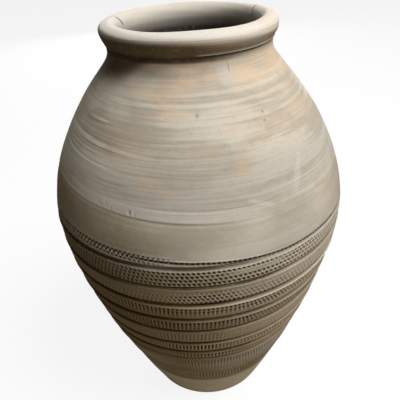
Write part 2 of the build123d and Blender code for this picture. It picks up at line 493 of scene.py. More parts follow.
class Face:
    """Height of the outer face over the outline, and how deep in a hollow or high on a ridge it is. Hollows
    are coloured with dirt and painted shade, ridges with wear and painted highlight.
    """

    def __init__(self, jar, around, height):
        self.jar = jar
        self.marks = jar.marks
        self.around = around
        self.height = height
        self.right = right_of_front(around)
        self.side = side_of_front(around)
        self.relief = 0.5 * self.marks.swell * (sway(around, height, 3, 5, 0.16) - 1.6) - self.marks.skin
        self.hollow = np.zeros(height.shape)
        self.ridge = np.zeros(height.shape)

    def press(self, shape, depth, soil_and_shade=1.0):
        """Press a shape into the clay, and darken it by a share of the dark colour of dirt and painted shade.
        """
        self.relief = self.relief - shape * depth
        self.hollow = np.maximum(self.hollow, shape * soil_and_shade)

    def raise_ridge(self, shape, height, shine=1.0):
        """Push a ridge up out of the clay, and paint it pale by the shine, as wear and painted highlight."""
        self.relief = self.relief + shape * height
        self.ridge = np.maximum(self.ridge, shape * shine)

    def add_groove(self, name):
        """The finger groove at the joint on top of a band, the dirt and painted shade in it, and the crest
        below it, painted pale as wear and highlight.

        The groove falls to nothing on half waves above and below its deepest line. It is shallower at the
        sides of the jar, and the top one runs out right of the front.
        """
        groove, side, number = GROOVES[name], self.side, int(name[-2:])
        off = self.height - self.jar.sunk_joint(name, self.around) - groove.shift
        depth = groove.depth * (1 - 0.45 * hump(np.abs(side) - 76, 34))
        # The dirt and painted shade in the groove thin out towards the lit right
        cover = 0.92 - 0.30 * step_up(side, -10, 45) + 0.14 * sway(self.around, 0 * side, number, 16, 1.0)
        if name == TOP_BAND:
            depth = depth * (1 - 0.85 * step_up(side, 8, 26))
            cover = cover - 0.7 * step_up(side, 12, 24)
        hollow = np.where(off > 0, hump(off, self.marks.groove_above), hump(off, groove.below))
        uneven = 1 + 0.16 * sway(self.around, 0 * self.height, len(name) + number, 9, 1.0)
        self.press(hollow * uneven, depth, 0.0)
        # The dark line of dirt and painted shade is broader at the shaded left
        lit, left = step_up(side, -10, 25), 1 - step_up(side, -48, -8)
        middle = 0.0008 * lit - 0.0012
        core, reach = 0.0012 + 0.0014 * left, 0.0068 + 0.0004 * lit + 0.0030 * left
        soil_and_shade = groove.soiled * min(1, groove.depth / SOILED_GROOVE) * np.clip(cover, 0.2, 1)
        self.hollow = np.maximum(self.hollow, soil_and_shade * (1 - step_up(np.abs(off - middle), core, reach)))
        # The crest below is painted pale as wear and painted highlight, most on the lit right
        crest = bell(off + groove.below + 0.0004 * lit, CREST_WIDTH)
        shine = groove.worn_and_lit * (0.3 + 0.7 * step_up(side, -30, 10))
        self.raise_ridge(crest, self.marks.crest * (0.45 + 0.55 * groove.worn_and_lit), shine)

    def add_foot_step(self):
        """The plain foot stands a little proud of the band above it."""
        off = self.height - self.jar.joint("foot_course", self.around)
        step = np.exp(-np.maximum(off, 0) / 0.020) * step_up(off, -0.0012, 0.0012)
        self.relief = self.relief - self.marks.foot_step * step
        # The top edge of the foot is painted pale as wear and painted highlight
        self.ridge = np.maximum(self.ridge, 0.35 * bell(off + 0.003, 0.004))

    def add_stamps(self, name):
        """The rows of stamps of a band, between the grooves below and above it."""
        stamps = STAMPS[name]
        low, high = (self.jar.sunk_joint(joint, self.around) for joint in (self.jar.below(name), name))
        share = (self.height - low) / (high - low)
        within = step_up(share, 0.0, 0.02) * (1 - step_up(share, 0.98, 1.0))
        pattern, rib = (strength * within for strength in stamp_pattern(stamps, self.around, share))
        self.relief = self.relief - pattern * stamps.depth * self.marks.stamp_share
        firm = min(1, stamps.depth / SOILED_STAMP)
        self.hollow = np.maximum(self.hollow, firm * step_up(pattern, 0.1, 0.75))
        self.hollow = self.hollow + max(-stamps.clean, 0) * within
        # The ribs between stamps are painted pale as wear and painted highlight
        self.ridge = np.maximum(self.ridge, firm * rib) + max(stamps.clean, 0) * within

    def add_bands(self, names):
        """The stamps and then the grooves of some bands, and the dashes over the top one."""
        for name in names:
            self.add_stamps(name)
        for name in names:
            self.add_groove(name)
        if TOP_BAND in names:
            self.add_dashes()

    def add_lines(self, strength):
        """Fine turning lines: waves of several lengths up the wall, stronger in some places than others."""
        draw = np.random.default_rng(11)
        lines = np.zeros(self.height.shape)
        level = self.height + self.seam_sag() * (1 - 0.8 * step_up(self.height, 0.80, 0.90))
        for wave in LINE_LENGTHS:
            drift = 1.2 * sway(self.around, self.height, int(wave * 1e5), 4, 0.2)
            lines += np.cos(TURN * level / wave + drift + draw.uniform(0, TURN)) * (wave / FULL_LINE) ** 0.5
        where = np.clip(0.6 + 0.5 * sway(self.around, self.height, 17, 4, 0.08), 0, 1.4)
        self.relief += self.marks.lines * strength * lines * where

    def seam_sag(self):
        """How far the seam has sunk, from nothing at the left to all of it right of the front."""
        return self.marks.seam_sag * step_up(self.side, *SAG_SPAN)

    def add_seam(self):
        """The rounded step at the seam over the belly, with a painted highlight just above its edge, painted
        shade just below it near the front, and a few upright nicks over its edge.

        The clay falls away on an exponential below the edge and above it.
        """
        off = self.height - self.jar.tops["belly_course_upper"] + self.seam_sag()
        side = self.side
        strength = (0.7 + 0.3 * step_up(side, -40, -15)) * (1 - 0.94 * step_up(side, -8, 20))
        edge = step_up(off, -0.0026, 0.0022)
        low, high = -0.7 * np.exp(np.minimum(off, 0) / 0.009), 0.5 * np.exp(-np.maximum(off, 0) / 0.012)
        self.relief += self.marks.seam * strength * (low * (1 - edge) + high * edge)
        # Painted highlight on the upward-facing lip just above the edge
        self.ridge = np.maximum(self.ridge, 0.7 * bell(off - 0.0034, 0.0030) * strength)
        # Painted shade in a thin dark line just below the edge, near the front
        self.press(hump(off + 0.0026, 0.0045) * strength * step_up(side, -45, -15), 0.0003, 0.08)
        for place, lift, deep in NICKS:
            nick = hump(self.right - place, NICK_WIDE) * hump(off - lift, NICK_TALL)
            self.press(nick, self.marks.nick * deep, 0.45 * deep)
            burr = hump(self.right - place - 0.8, 0.5) * hump(off - lift, 0.007)
            self.raise_ridge(burr, 0.0006 * deep, deep)

    def add_dashes(self):
        """The lowest line of the belly: a row of dashes under a thin ridge, with more rows on the left."""
        side, place = self.side, DASHES * self.around / TURN
        across, staggered = across_pitch(place), across_pitch(place + 0.5)
        line = DASH_HEIGHT - DASH_LEAN * np.cos(self.around) - DASH_SAG * hump(side - 24, 26)
        off = self.height - line
        left = 1 - step_up(side, -30, -16)
        drawn = step_up(side, -26, -20) * (1 - step_up(side, -6, 0))
        wide = 0.42 - 0.12 * left + 0.12 * drawn + 0.5 * step_up(side, 40, 62)
        tall = DASH_TALL + 0.0010 * step_up(side, 4, 16)
        fade = 1 - 0.75 * step_up(np.abs(side), 70, 110)
        self.press(pits(across, off, wide, tall) * fade, self.marks.dash)
        # The thin ridge over the dashes is painted pale as wear and painted highlight, away from the shaded
        # left
        thin = bell(off - 0.0050, 0.0013) * (1 - left) * (0.25 + 0.75 * hump(side, 75))
        self.raise_ridge(thin, 0.0009)
        groove = self.jar.sunk_joint(TOP_BAND, self.around)
        for rise, strong in ((0.0058, hump(side + 34, 26)), (-0.0060, hump(side + 36, 24))):
            room = step_up(line + rise - groove, 0.0040, 0.0065)
            self.press(pits(staggered, off - rise, 0.32, DOT_TALL) * strong**0.3 * room, self.marks.dot)
            rim = pits(staggered, off - rise - 0.0042, 0.34, 0.0012) * strong**0.4 * room
            self.raise_ridge(rim, 0.0005, 0.8)
        ribs = pits(0.5 - np.abs(across), off, 0.2, 0.0029) * hump(side + 36, 26)
        self.raise_ridge(ribs, 0.0, 0.6)


# Meshes from grids


def put_mesh(name, points, corners, counts, sharp, hollow, ridge, flat_faces=0):
    """Make a mesh object of points and faces, with chosen edges sharp, and two numbers kept at each point.

    An edge is sharp where both of its points are in the same sharp group. The last faces can be flat.
    """
    mesh = bpy.data.meshes.new(name)
    mesh.vertices.add(len(points))
    mesh.vertices.foreach_set("co", points.astype(np.float32).ravel())
    mesh.loops.add(len(corners))
    mesh.loops.foreach_set("vertex_index", corners.astype(np.int32))
    mesh.polygons.add(len(counts))
    starts = np.concatenate([[0], np.cumsum(counts)[:-1]])
    mesh.polygons.foreach_set("loop_start", starts.astype(np.int32))
    mesh.update(calc_edges=True)
    if mesh.validate():
        raise RuntimeError(f"{name} has faces that do not fit together")
    mesh.shade_smooth()
    ends = np.zeros(len(mesh.edges) * 2, np.int32)
    mesh.edges.foreach_get("vertices", ends)
    first, second = sharp[ends.reshape(-1, 2)].T
    edges = mesh.attributes.new("sharp_edge", "BOOLEAN", "EDGE")
    edges.data.foreach_set("value", (first >= 0) & (first == second))
    if flat_faces:
        flat = mesh.attributes.new("sharp_face", "BOOLEAN", "FACE")
        flat.data.foreach_set("value", np.arange(len(counts)) >= len(counts) - flat_faces)
    for label, values in (("hollow", hollow), ("ridge", ridge)):
        kept = mesh.attributes.new(label, "FLOAT", "POINT")
        kept.data.foreach_set("value", values.astype(np.float32))
    piece = bpy.data.objects.new(name, mesh)
    bpy.context.scene.collection.objects.link(piece)
    return piece


def grid_faces(rows, columns, wrap_rows, wrap_columns):
    """Corners of the four-sided faces of a grid of points, counted row by row."""
    down = np.arange(rows if wrap_rows else rows - 1)[:, None]
    along = np.arange(columns if wrap_columns else columns - 1)[None, :]
    next_down, next_along = (down + 1) % rows, (along + 1) % columns
    quad = [down * columns + along, down * columns + next_along]
    quad += [next_down * columns + next_along, next_down * columns + along]
    return np.stack(quad, -1).reshape(-1, 4)


def carried(radius, around, height):
    """Rows of a section carried round the jar's axis: point = (radius cos, radius sin, height)."""
    return np.stack([radius * np.cos(around), radius * np.sin(around), height], -1).reshape(-1, 3)


class Side(NamedTuple):
    """Rows of a section, from its first corner up to the next one, as arrays of rows by columns."""

    radius: np.ndarray
    height: np.ndarray
    hollow: np.ndarray
    ridge: np.ndarray


def plain_side(radius, height):
    """Rows with no hollows or ridges."""
    return Side(radius, height, np.zeros(radius.shape), np.zeros(radius.shape))


def straight_side(start, end, rows):
    """Rows on straight lines from one corner to another, without the last."""
    share = np.linspace(0, 1, rows, endpoint=False)[:, None]
    return plain_side(*(a + (b - a) * share for a, b in zip(start, end)))


def ring(name, around, sides, whole=True):
    """Carry a closed section round the jar's axis.

    A whole ring closes on itself, and a length of one gets a flat end at each splice.
    """
    radius, height, hollow, ridge = (np.concatenate(part) for part in zip(*sides))
    rows, columns = radius.shape
    quads = grid_faces(rows, columns, True, whole)
    corners, counts = quads.ravel(), np.full(len(quads), 4)
    firsts = np.cumsum([0] + [len(side.radius) for side in sides[:-1]])
    sharp = np.full(rows, -1)
    sharp[firsts] = firsts
    if not whole:
        first = np.arange(rows) * columns
        corners = np.concatenate([corners, first, (first + columns - 1)[::-1]])
        counts = np.concatenate([counts, [rows, rows]])
    points = carried(radius, around, height)
    sharp = np.repeat(sharp, columns)
    return put_mesh(name, points, corners, counts, sharp, hollow.ravel(), ridge.ravel(), 0 if whole else 2)


def dress(piece, node):
    """Let a piece stand for a node of the frame."""
    piece.data.materials.append(clay())
    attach(piece, BODY)
    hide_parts(node)


def angles(columns):
    """Equal steps once round the jar."""
    return (np.arange(columns) * TURN / columns)[None, :]


def outer_side(face):
    """The outer face, the outline moved out square by the relief, and its upper corner."""
    radius, height = face.jar.into_wall(face.height, -face.relief)
    return Side(radius[:-1], height[:-1], face.hollow[:-1], face.ridge[:-1]), (radius[-1], height[-1])


def inner_side(jar, around, low, high, rows=4):
    """The inner face from its top down, the outline moved in by the wall, and its lower corner."""
    height = low + (high - low) * np.linspace(1, 0, rows)[:, None]
    swell = 0.5 * jar.marks.inner_swell * (1 + sway(around, height, 29, 3, 0.035))
    radius, height = jar.into_wall(height, jar.sizes.wall - swell)
    return plain_side(radius[:-1], height[:-1]), (radius[-1], height[-1])


def course(jar, name, *marks, columns, rows, lines):
    """One course of the wall: outer face with its marks, upper joint, inner face and lower joint."""
    around = angles(columns)
    below = jar.below(name)
    low, high = jar.joint(below, around), jar.joint(name, around)
    face = Face(jar, around, low + (high - low) * np.linspace(0, 1, rows)[:, None])
    face.add_lines(lines)
    for mark in marks:
        mark(face)
    outer, outer_top = outer_side(face)
    if below == "base_disc":
        levels = jar.into_wall(jar.heights, jar.sizes.wall)[1]
        low = np.full_like(low, np.interp(jar.tops[below], levels, jar.heights))
    inner, inner_low = inner_side(jar, around, low, high)
    top = straight_side(outer_top, (inner.radius[0], inner.height[0]), 1)
    bottom = straight_side(inner_low, (outer.radius[0], outer.height[0]), 1)
    dress(ring(f"{name}_clay", around, [outer, top, inner, bottom]), name)


def jar_now():
    """The jar with the sizes and marks that are set in the scene."""
    scene = bpy.context.scene
    return Jar(scene.jar_sizes, scene.jar_marks)


# Fired clay


def arithmetic(operation, swapped=False):
    """A method that writes a Python operator as a Math node."""

    def write(self, other):
        return self.sum(operation, other, self) if swapped else self.sum(operation, self, other)

    return write


class Wire:
    """A socket of a node tree, on which sums are written as Python expressions."""

    def __init__(self, tree, socket=None):
        self.tree = tree
        self.socket = socket

    def node(self, kind, settings=None, result=0, **inputs):
        """Add a node with its settings and the values or links of its sockets. Gives one of its outputs."""
        made = self.tree.nodes.new(kind)
        for key, value in (settings or {}).items():
            setattr(made, key, value)
        for key, value in inputs.items():
            place = int(key[1:]) if key[0] == "i" and key[1:].isdigit() else key.replace("_", " ")
            if isinstance(value, Wire):
                self.tree.links.new(value.socket, made.inputs[place])
            else:
                made.inputs[place].default_value = value
        return Wire(self.tree, made.outputs[result])

    def sum(self, operation, first, second=0.0):
        """A Math node."""
        return self.node("ShaderNodeMath", {"operation": operation}, i0=first, i1=second)

    __add__, __radd__ = arithmetic("ADD"), arithmetic("ADD", True)
    __sub__, __rsub__ = arithmetic("SUBTRACT"), arithmetic("SUBTRACT", True)
    __mul__, __rmul__ = arithmetic("MULTIPLY"), arithmetic("MULTIPLY", True)
    __truediv__ = arithmetic("DIVIDE")

    def between(self, low, high):
        """Nothing at low, one at high, smooth between."""
        settings = {"interpolation_type": "SMOOTHSTEP"}
        return self.node("ShaderNodeMapRange", settings, Value=self, From_Min=low, From_Max=high)

    def within(self, rise, fall):
        """Nothing at both ends, one between the ramp where it rises and the ramp where it falls."""
        return self.between(*rise) * (1 - self.between(*fall))

    def blend(self, first, second):
        """Mix two colours by this value."""
        settings = {"data_type": "RGBA", "clamp_factor": True}
        return self.node("ShaderNodeMix", settings, result=2, i0=self, i6=opaque(first), i7=opaque(second))

    def stretched(self, scale):
        """This vector times a scale along each axis."""
        return self.node("ShaderNodeVectorMath", {"operation": "MULTIPLY"}, i0=self, i1=scale)

    def noise(self, scale, detail, rough, twist=0.0):
        """Noise at this place, with a scale along each axis."""
        kind, spread = "ShaderNodeTexNoise", self.stretched(scale)
        return self.node(kind, Vector=spread, Scale=1.0, Detail=detail, Roughness=rough, Distortion=twist)

    def into(self, shader, name):
        """Link this value to a shader's socket."""
        self.tree.links.new(self.socket, shader.inputs[name])


def opaque(tint):
    """A colour with full cover, or a wire as it is."""
    return tint if isinstance(tint, Wire) else (*tint, 1.0)


class Stain(NamedTuple):
    """A mark in the clay.

    Degrees right of the front, height, half width in degrees, half height, colour, strength, and the lean to
    the right in degrees per metre of height.
    """

    right: float
    height: float
    wide: float
    tall: float
    tint: tuple
    cover: float
    lean: float = 0.0


PEACH, NECK_LIGHT, OCHRE = (0.73, 0.52, 0.36), (0.84, 0.66, 0.48), (0.62, 0.45, 0.26)
ASH, CHALK, PALE = (0.60, 0.575, 0.53), (0.82, 0.76, 0.66), (0.74, 0.685, 0.605)
RUST, DARK = (0.42, 0.26, 0.15), (0.24, 0.20, 0.15)
STAINS = (
    Stain(-9, 0.920, 15, 0.024, PEACH, 0.55),
    Stain(32, 0.905, 13, 0.030, PEACH, 0.18),
    Stain(19, 0.925, 5.0, 0.030, ASH, 0.32),
    # Painted light: a pale apricot band round the front of the neck lifts the shade of the rim there
    Stain(-8, 0.933, 17, 0.010, NECK_LIGHT, 0.5),
    Stain(22.6, 0.933, 0.6, 0.012, DARK, 0.5),
    Stain(1.3, 0.868, 1.3, 0.0045, DARK, 0.5),
    Stain(32.7, 0.858, 1.1, 0.0026, DARK, 0.6),
    Stain(32.2, 0.8445, 1.3, 0.0030, DARK, 0.6),
    Stain(33, 0.831, 3.4, 0.011, DARK, 0.22),
    Stain(17.3, 0.784, 4.4, 0.022, OCHRE, 0.36),
    Stain(21.5, 0.720, 2.6, 0.014, PALE, 0.34, -409),
    Stain(39, 0.748, 2.4, 0.042, PALE, 0.24, 121),
    Stain(-28, 0.683, 2.0, 0.014, RUST, 0.35),
    Stain(-52, 0.8485, 13, 0.0026, CHALK, 0.6),
    Stain(-54, 0.8430, 13, 0.0028, DARK, 0.45),
)
# Half width in degrees over which a stain is broken up by noise
BROKEN_STAIN = 3


class ClayPaint:
    """The colour of the fired clay, with light and shade painted in: tones laid on by height, angle, noise
    and the marks kept on the mesh.

    Heights are in metres and angles in radians. Each ramp rises from its first to its second value.
    """

    def __init__(self, tree, tints, seam_sag):
        self.tints = tints
        place = Wire(tree).node("ShaderNodeTexCoord", result=3)
        split = place.node("ShaderNodeSeparateXYZ", i0=place).socket.node
        x, y, self.z = (Wire(tree, output) for output in split.outputs)
        flat = place.stretched((1, 1, 0))
        self.radius = place.node("ShaderNodeVectorMath", {"operation": "LENGTH"}, result=1, i0=flat)
        self.turned = place.sum("ARCTAN2", x, 0 - y)
        self.right = self.turned * (1 - place.sum("ABSOLUTE", self.turned).between(*np.radians(BACK_SPAN)))
        self.left = 0 - self.right
        # The lit side, where the main lamp falls; tones that follow it are painted light and shade
        self.lit = self.right.between(-0.35, 0.8)
        self.sagged = self.z + seam_sag * self.right.between(*np.radians(SAG_SPAN))
        self.hollow = place.node("ShaderNodeAttribute", {"attribute_name": "hollow"}, result=2)
        self.ridge = place.node("ShaderNodeAttribute", {"attribute_name": "ridge"}, result=2)
        self.wide_streaks = place.noise((1.8, 1.8, 20), 5, 0.6, 0.6)
        self.streaks = place.noise((4, 4, 62), 5, 0.62, 0.3)
        self.fine_streaks = place.noise((3, 3, 170), 4, 0.6)
        self.mottle = place.noise((9, 9, 9), 6, 0.62, 0.5)
        self.blotches = place.noise((4.5, 4.5, 9), 4, 0.55, 0.6)
        self.patches = place.noise((6.5, 6.5, 15), 3, 0.5, 0.4)
        self.spots = place.noise((10, 10, 26), 3, 0.5, 0.5)
        self.specks = place.noise((260, 260, 260), 3, 0.6)
        self.dusty = place.noise((110, 110, 110), 6, 0.7)
        self.grain = place.noise((420, 420, 420), 5, 0.65)
        self.coarse = place.noise((70, 70, 70), 5, 0.6)

    def smooth(self):
        """Shoulder and belly: wiped slip, blushes high up, a painted highlight on the step at the seam, and
        below it painted shade towards the left and darker and greyer tones elsewhere.
        """
        tints, z, right, left, mottle = self.tints, self.z, self.right, self.left, self.mottle
        belly = 1 - self.sagged.between(0.712, 0.724)
        slipped = self.wide_streaks * 0.35 + self.streaks * (0.45 - 0.25 * belly)
        slipped = slipped + self.fine_streaks * (0.85 - 0.6 * belly) + mottle * 0.4 + self.patches * 1.1
        body = slipped.between(1.41 - 0.45 * belly, 1.75 - 0.40 * belly).blend(tints.clay, tints.slip)
        high = z.between(0.74, 0.92) * (1 - 0.8 * left.between(0.45, 1.0))
        blush = self.spots * 0.9 + self.blotches * 0.4 + self.streaks * 0.4 + self.fine_streaks * 0.3
        blush = (blush + high * 0.12).between(1.02, 1.26) * high * (0.8 - 0.25 * right.between(0.3, 0.9))
        body = blush.blend(body, tints.blush)
        dull = z.within((0.695, 0.725), (0.765, 0.83)) * right.between(-0.75, -0.25)
        body = (dull * (0.24 + 0.36 * self.patches)).blend(body, tints.grey)
        body = (self.blotches.between(0.56, 0.68) * 0.42 * z.between(0.6, 0.7)).blend(body, tints.blush)
        # Painted highlight: the step over the seam, which faces up, is lightened towards cream
        ledge_highlight = self.sagged.within((0.714, 0.719), (0.728, 0.752)) * right.between(-0.75, -0.30)
        ledge_highlight = ledge_highlight * (1 - 0.9 * right.between(0.05, 0.55))
        body = (ledge_highlight * (0.28 + 0.36 * mottle)).blend(body, tints.cream)
        # Painted shade: below the seam the belly turns browner towards the left, away from the lamp, most at
        # the far left
        stained = left.between(0.04, 0.50) * (1 - self.sagged.between(0.710, 0.718)) * (0.55 + 0.6 * mottle)
        body = (stained * (0.58 + 0.14 * left.between(0.45, 0.80))).blend(body, tints.earth)
        grey_right = (1 - z.between(0.675, 0.715)) * right.between(0.0, 0.6)
        body = (grey_right * 0.34).blend(body, tints.grey)
        shaded = right.between(0.75, 1.25) * (1 - z.between(0.66, 0.74))
        return (shaded * 0.42).blend(body, tints.earth)

    def banded(self, body):
        """Bands and foot: brown clay, greyer high up and warm in front, with painted light making it greyer
        and paler on the lit side and painted shade making it darkest at the left.
        """
        tints, z, right, left = self.tints, self.z, self.right, self.left
        low, ground = 1 - z.between(0.40, 0.64), 1 - z.between(0.22, 0.32)
        # The grey share: on the lit side it rises as painted light, and at the far left it falls as painted
        # shade
        grey = self.mottle * 0.8 + self.streaks * 0.4 - low * 0.26 + ground * 0.35
        grey = grey + self.lit * (0.56 - 0.48 * ground) + z.within((0.20, 0.24), (0.27, 0.32)) * 0.12
        grey = grey + z.within((0.30, 0.36), (0.49, 0.57)) * right.between(-0.35, -0.05) * 0.13
        grey = grey - (1 - z.between(0.165, 0.205)) * right.between(-0.2, 0.2) * 0.15
        grey = grey - (1 - right.between(-0.85, -0.40)) * (1 - ground) * 0.16
        dust = (low * (1 - ground)).blend(tints.dust, tints.umber)
        bands = grey.between(0.45, 1.05).blend(tints.earth, dust)
        warm = left.between(-0.25, 0.15) * z.within((0.29, 0.35), (0.46, 0.56))
        bands = (warm * 0.42).blend(bands, tints.tan)
        # Painted shade on the left of the middle bands
        bands = (left.between(0.08, 0.60) * z.between(0.30, 0.38) * 0.30).blend(bands, tints.left_shade)
        body = (self.in_bands() * 0.95).blend(body, bands)
        # Painted light: the foot colour is strongest near the ground and away from the lit side, against the
        # shade of the floor
        foot = 0.54 + 0.5 * self.mottle - 0.14 * self.lit + 0.14 * (1 - z.between(0.045, 0.085))
        return (1 - z.between(0.117, 0.130)).blend(body, foot.blend(bands, tints.foot))

    def in_bands(self):
        """One in the bands and below them, nothing on the smooth clay."""
        return 1 - self.z.between(0.575, 0.640)

    def stained(self, body):
        """Single stains and streaks: soft ovals, the wide ones broken up by noise."""
        ragged = (self.spots * 0.5 + self.mottle * 0.3 + self.streaks * 0.5).between(0.50, 0.74) * 1.5
        for stain in STAINS:
            up = self.z - stain.height
            across = self.turned - np.radians(stain.right) - up * np.radians(stain.lean)
            across, up = across / np.radians(stain.wide), up / stain.tall
            cover = (1 - (across * across + up * up).between(0.0, 1.0)) * stain.cover
            if stain.wide > BROKEN_STAIN:
                cover = cover * ragged
            body = cover.blend(body, stain.tint)
        return body

    def rimmed(self, body):
        """Neck, rim and mouth: painted shade under the rim and at the narrowest place of the neck, a clean
        crown, and inside the mouth pale clay that falls to painted shade further down.
        """
        tints, z, right, mottle = self.tints, self.z, self.right, self.mottle
        # Painted shade under the rim: deepest and reaching lowest at the far left, weaker on the lit right
        far_left, shade = self.left.between(0.35, 0.95), 1 - self.lit
        rim_shade = (z + far_left * 0.027).between(0.942 - far_left * 0.028, 0.958)
        rim_shade = rim_shade * (1 - (z - 0.007 * shade).between(0.970, 0.983))
        rim_shade = rim_shade * (0.97 - 0.45 * right.between(-0.1, 0.9)) * (0.8 + 0.35 * mottle)
        body = rim_shade.blend(body, tints.rim_shade)
        # Painted shade: a near-black strip at the narrowest place of the neck, under the lapped rim, fading
        # out right of the front
        pinch_shade = z.within((0.943, 0.949), (0.953, 0.962)) * (1 - right.between(0.0, 0.8))
        body = (pinch_shade * 0.8).blend(body, tints.soil_and_shade)
        crown = (z - 0.006 * shade).between(0.974, 0.986)
        body = (crown * (0.7 + 0.5 * mottle)).blend(body, tints.cream)
        body = (crown * self.blotches.between(0.42, 0.66) * 0.4).blend(body, tints.blush)
        # Inside the mouth: pale painted light at the top, falling to near-black painted shade further down
        inner = (0 - self.radius).between(-0.1625, -0.1500) * z.between(0.9, 0.95)
        return inner.blend(body, (1 - z.between(0.940, 0.980)).blend(tints.inside, tints.deep))

    def worn_and_lit(self, body):
        """Ridges painted pale as wear and painted highlight, cream on the lit side; dirt and painted shade in
        the hollows; specks and dust.
        """
        tints = self.tints
        # Pale ridge colour, as wear and painted highlight: straw away from the lamp, cream on the lit side
        wear_and_highlight = self.lit.blend(tints.straw, tints.cream)
        bright_share = self.in_bands() * (1 - 0.6 * self.z.between(0.40, 0.60) * self.lit)
        pale = bright_share.blend(tints.slip, wear_and_highlight)
        body = (self.ridge * (0.72 + 0.8 * self.mottle)).blend(body, pale)
        # Dirt and painted shade in the hollows
        body = (self.hollow * (0.95 + 0.3 * self.mottle)).blend(body, tints.soil_and_shade)
        body = (self.specks.between(0.60, 0.72) * 0.2).blend(body, tints.earth)
        body = (self.dusty.between(0.50, 0.75) * 0.22).blend(body, pale)
        return ((1 - self.dusty.between(0.25, 0.5)) * 0.18).blend(body, tints.earth)


def clay():
    """Matt fired clay, made once: its colour with painted light and shade, its roughness and a fine grain."""
    if CLAY in bpy.data.materials:
        return bpy.data.materials[CLAY]
    scene = bpy.context.scene
    material = bpy.data.materials.new(CLAY)
    material.use_nodes = True
    tree = material.node_tree
    shader = tree.nodes["Principled BSDF"]
    shader.inputs["Specular IOR Level"].default_value = 0.08
    paint = ClayPaint(tree, scene.jar_colours, scene.jar_marks.seam_sag)
    body = paint.worn_and_lit(paint.rimmed(paint.stained(paint.banded(paint.smooth()))))
    body.into(shader, "Base Color")
    (0.80 + 0.14 * paint.mottle + 0.06 * paint.hollow).into(shader, "Roughness")
    rough = paint.grain * 0.5 + paint.coarse * 0.5
    body.node("ShaderNodeBump", Strength=0.35, Distance=0.0012, Height=rough).into(shader, "Normal")
    return material


# Pieces


class JAR_OT_base(Operator):
    """Slab that the jar stands on, and the coil in its corner"""

    bl_idname = "jar.base"
    bl_label = "Base and corner coil"

    # Radius of the fans that close the slab in the middle
    hub = 0.02

    def execute(self, context):
        jar = jar_now()
        around = angles(COLUMNS)
        self.slab(jar, around)
        self.corner_coil(jar, around)
        return {"FINISHED"}

    def slab(self, jar, around):
        """The slab: underside, rounded heel, wall and top in rows round the axis, closed by two fans."""
        ones, top = np.ones_like(around), jar.tops["base_disc"]
        heel_radius, heel_height = self.heel(jar)
        face = Face(jar, around, np.linspace(heel_height[-1], top, 14)[:, None] * ones)
        face.add_lines(strength=0.5)
        radius, height = jar.into_wall(face.height, -face.relief)
        inset = (jar.marks.skin + 0.0008) * heel_height / heel_height[-1]
        under = np.linspace(self.hub, heel_radius[0], 8, endpoint=False)
        over = radius[-1] + (self.hub - radius[-1]) * np.linspace(0, 1, 9)[1:-1, None]
        low_radius = np.concatenate([under, (heel_radius - inset)[:-1]])[:, None] * ones
        low_height = np.concatenate([0 * under, heel_height[:-1]])[:, None] * ones
        rows_radius = np.concatenate([low_radius, radius, over])
        rows_height = np.concatenate([low_height, height, 0 * over + height[-1]])
        rows, columns = rows_radius.shape
        points = np.concatenate([carried(rows_radius, around, rows_height), [(0, 0, 0), (0, 0, top)]])
        quads = grid_faces(rows, columns, False, True)
        along = np.arange(columns)
        beside = (along + 1) % columns
        last, centre = (rows - 1) * columns, np.full(columns, rows * columns)
        fans = np.stack([centre, beside, along, centre + 1, last + along, last + beside], -1)
        low_fan, high_fan = fans[:, :3].ravel(), fans[:, 3:].ravel()
        corners = np.concatenate([quads.ravel(), low_fan, high_fan])
        counts = np.concatenate([np.full(len(quads), 4), np.full(2 * columns, 3)])
        sharp = np.full(rows, -1)
        sharp[len(low_radius) + len(radius) - 1] = 0
        sharp = np.append(np.repeat(sharp, columns), [-1, -1])
        blank = np.zeros(len(points))
        dress(put_mesh("base_disc_clay", points, corners, counts, sharp, blank, blank), "base_disc")

    def heel(self, jar):
        """Radius and height of the arc that rounds the corner between the ground and the wall."""
        heel_round = jar.sizes.heel_round
        bend = np.pi / 2 - np.arctan(jar.sizes.foot_lean)
        middle = jar.sizes.base_radius - heel_round * np.tan(bend / 2)
        swing = np.linspace(0, bend, 9)
        return middle + heel_round * np.sin(swing), heel_round * (1 - np.cos(swing))

    def corner_coil(self, jar, around):
        """The coil: floor, inner face of the wall and a slope that a thumb has hollowed a little."""
        sizes, ones, floor = jar.sizes, np.ones_like(around), jar.tops["base_disc"]
        start = jar.radius(floor) - sizes.wall - sizes.corner_coil
        levels = jar.heights[jar.heights < jar.tops[BANDS[0]]]
        radius, height = jar.into_wall(levels, sizes.wall)
        foot = np.interp(floor, height, levels)
        head = np.interp(0.0, (height - floor) - (radius - start), levels)
        wall = jar.into_wall(np.linspace(foot, head, 6), sizes.wall)
        radius, height = (part[:, None] * ones for part in wall)
        floor_side = straight_side((start * ones, floor * ones), (radius[:1], floor * ones), 4)
        wall_side = plain_side(radius[:-1], height[:-1])
        share = np.linspace(0, 1, 8, endpoint=False)[:, None]
        hollow = jar.marks.thumb * np.sin(np.pi * share) * (1 + 0.5 * sway(around, share, 41, 14, 1.0))
        slope_radius = radius[-1] + (start - radius[-1]) * share + hollow * 0.7
        slope_height = height[-1] + (floor - height[-1]) * share - hollow * 0.7
        sides = [floor_side, wall_side, plain_side(slope_radius, slope_height)]
        dress(ring("corner_coil_clay", around, sides), "corner_coil")


class JAR_OT_foot(Operator):
    """Plain course above the slab"""

    bl_idname = "jar.foot"
    bl_label = "Foot"

    def execute(self, context):
        course(jar_now(), "foot_course", Face.add_foot_step, columns=COLUMNS, rows=48, lines=0.5)
        return {"FINISHED"}


